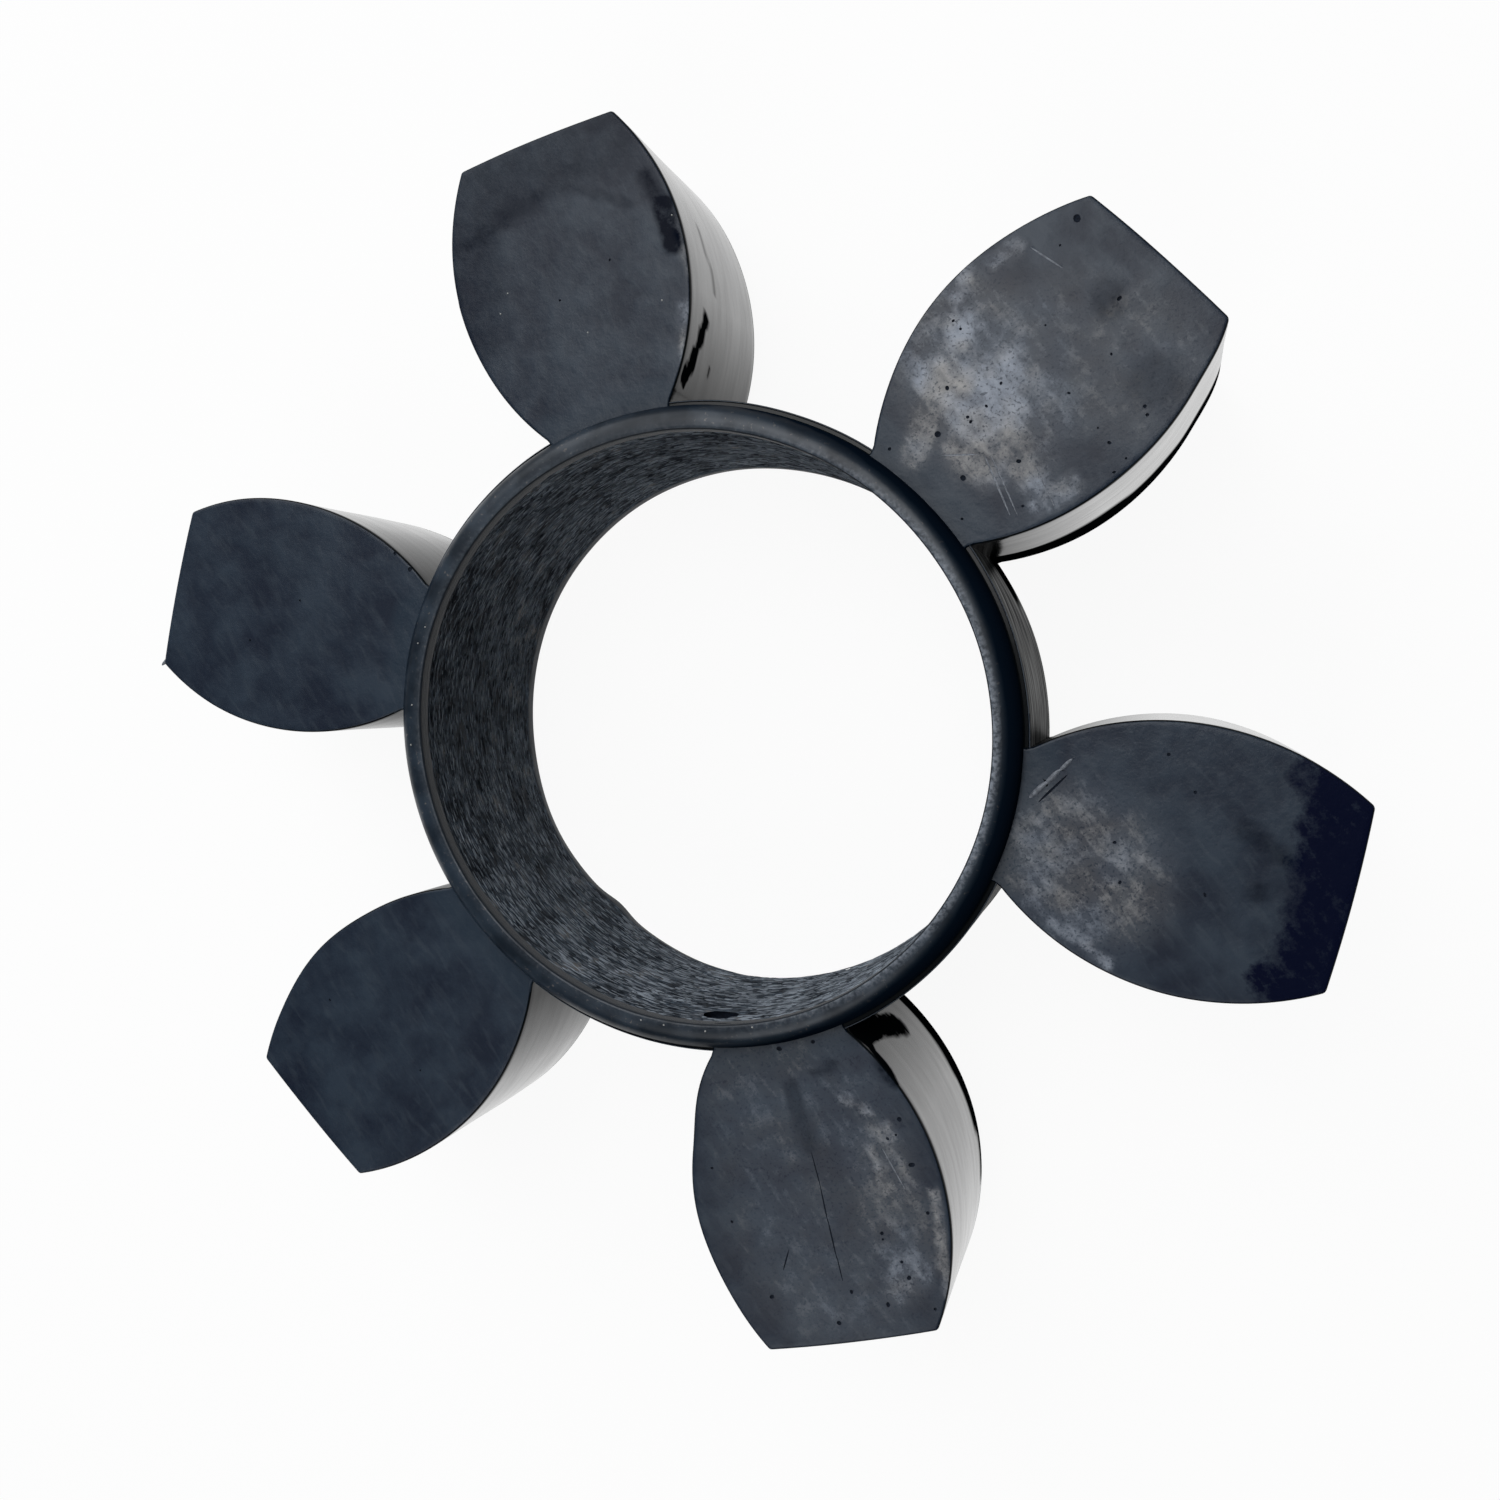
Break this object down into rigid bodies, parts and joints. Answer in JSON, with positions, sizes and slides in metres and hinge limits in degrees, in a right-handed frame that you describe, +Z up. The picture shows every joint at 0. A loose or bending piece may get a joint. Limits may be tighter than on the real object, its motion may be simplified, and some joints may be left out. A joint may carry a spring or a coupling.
{
  "type": "rubber coupling insert",
  "caption": "Elastic insert of a jaw coupling: barrel-shaped rubber pads moulded round a thin ring, which cushion the jaws of two shaft hubs.",
  "frame": {"origin": "on the ring's axis, in the plane that the insert lies on, which is the lower end face of the ring", "axes": "+Z up along the ring's axis, which is the shafts' axis in use; +Y along the first pad, the one at the upper left in the picture"},
  "size_m": [0.158, 0.1694, 0.042],
  "materials": {
    "black_rubber": "dull satin moulded skin, glossier on the flanks, torn and matt in the bore"
  },
  "bodies": {
    "root": {"coupling_insert": "black_rubber"}
  },
  "joints": []
}
